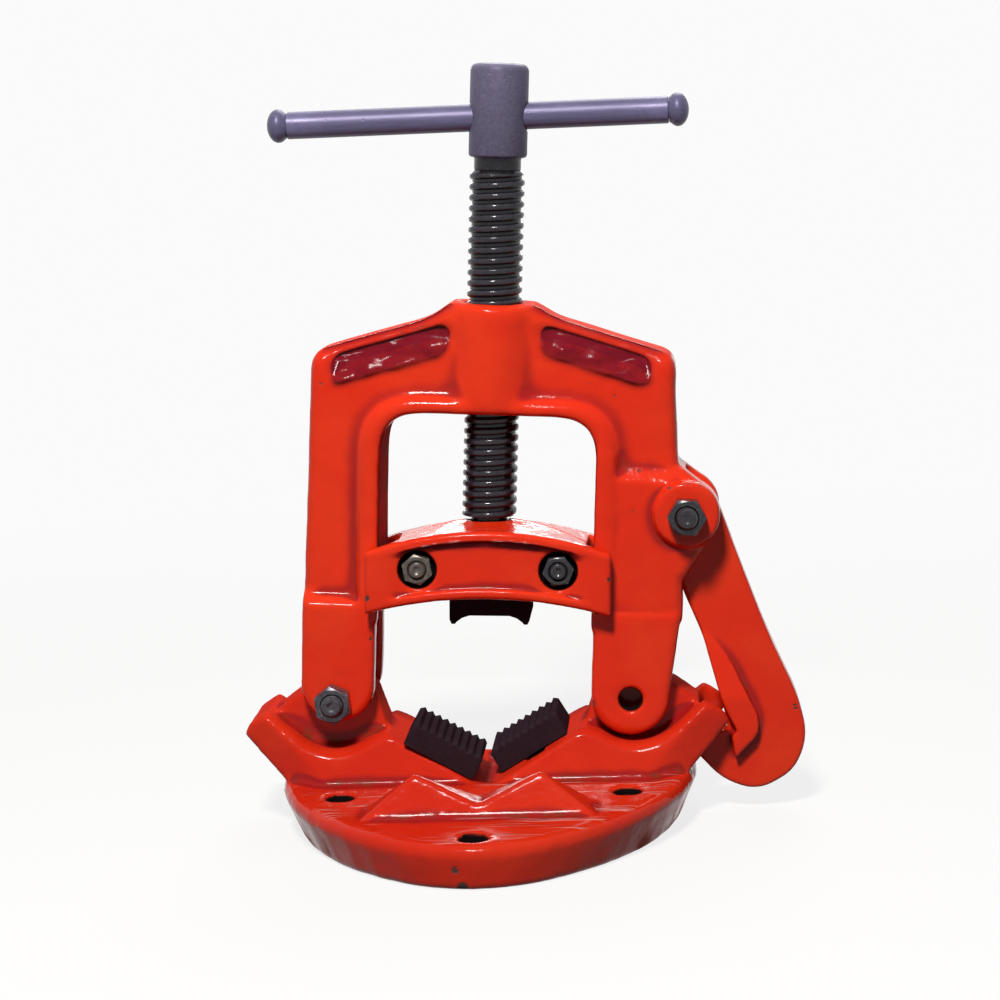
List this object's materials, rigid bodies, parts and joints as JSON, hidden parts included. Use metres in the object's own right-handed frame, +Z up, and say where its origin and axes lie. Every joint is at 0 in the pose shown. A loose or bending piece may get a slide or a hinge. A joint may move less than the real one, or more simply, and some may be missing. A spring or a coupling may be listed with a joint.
{
  "type": "hinged yoke pipe vise",
  "caption": "Cast bench pipe vise: hinged yoke with hook latch, T-handled screw driving a jaw carrier down onto serrated vee jaws, on a bolting flange.",
  "frame": {"origin": "underside of the base, below the line where the two lower jaws meet", "axes": "+Z up, +X to the right seen from the front, where the hook latch hangs, +Y from the pipe rest towards the rear"},
  "size_m": [0.2674, 0.167, 0.359],
  "materials": {
    "red_paint": "glossy orange-red enamel over rough castings",
    "jaw_steel": "black oxide, hardened, serrated",
    "screw_steel": "oiled gunmetal",
    "bar_steel": "drawn bright steel, dulled",
    "bolt_steel": "blackened steel with bright edges"
  },
  "bodies": {
    "base": {"base": "red_paint", "lower_jaw_left": "jaw_steel", "lower_jaw_right": "jaw_steel"},
    "yoke": {"yoke": "red_paint", "hinge_bolt": "bolt_steel", "hinge_nut": "bolt_steel"},
    "latch_pin": {"latch_bolt": "bolt_steel", "latch_nut": "bolt_steel"},
    "latch": {"latch_hook": "red_paint"},
    "carrier": {"carrier_front": "red_paint", "carrier_rear": "red_paint", "upper_jaw": "jaw_steel", "carrier_bolt_left": "bolt_steel", "carrier_bolt_right": "bolt_steel", "carrier_nut_left": "bolt_steel", "carrier_nut_right": "bolt_steel"},
    "screw": {"screw": "screw_steel"},
    "bar": {"tommy_bar": "bar_steel", "tommy_ball_left": "bar_steel", "tommy_ball_right": "bar_steel"}
  },
  "joints": [
    {"name": "yoke_swing", "type": "hinge", "parent": "base", "child": "yoke", "pos_m": [-0.0714, 0, 0.062], "axis": [0, -1, 0], "range_deg": [0, 56]},
    {"name": "latch_bolt_turn", "type": "hinge", "parent": "yoke", "child": "latch_pin", "pos_m": [0.09849, 0, 0.14683], "axis": [0, -1, 0], "range_deg": [0, 48]},
    {"name": "latch_swing", "type": "hinge", "parent": "latch_pin", "child": "latch", "pos_m": [0.09849, 0, 0.14683], "axis": [0, -1, 0], "range_deg": [0, 40]},
    {"name": "jaw_slide", "type": "slide", "parent": "yoke", "child": "carrier", "axis": [-0.0663, 0, -0.9978], "range_m": [-0.0501, 0.0501]},
    {"name": "screw_turn", "type": "hinge", "parent": "carrier", "child": "screw", "pos_m": [-0.00126, 0, 0.05734], "axis": [-0.0663, 0, -0.9978], "range_deg": [-3600, 3600]},
    {"name": "bar_slide", "type": "slide", "parent": "screw", "child": "bar", "axis": [1, 0, 0], "range_m": [-0.062, 0.082]}
  ],
  "couplings": [
    {"joint": "latch_bolt_turn", "follows": "yoke_swing", "ratio": 0.85},
    {"joint": "jaw_slide", "follows": "screw_turn", "m_per_rad": 0.00079577}
  ]
}
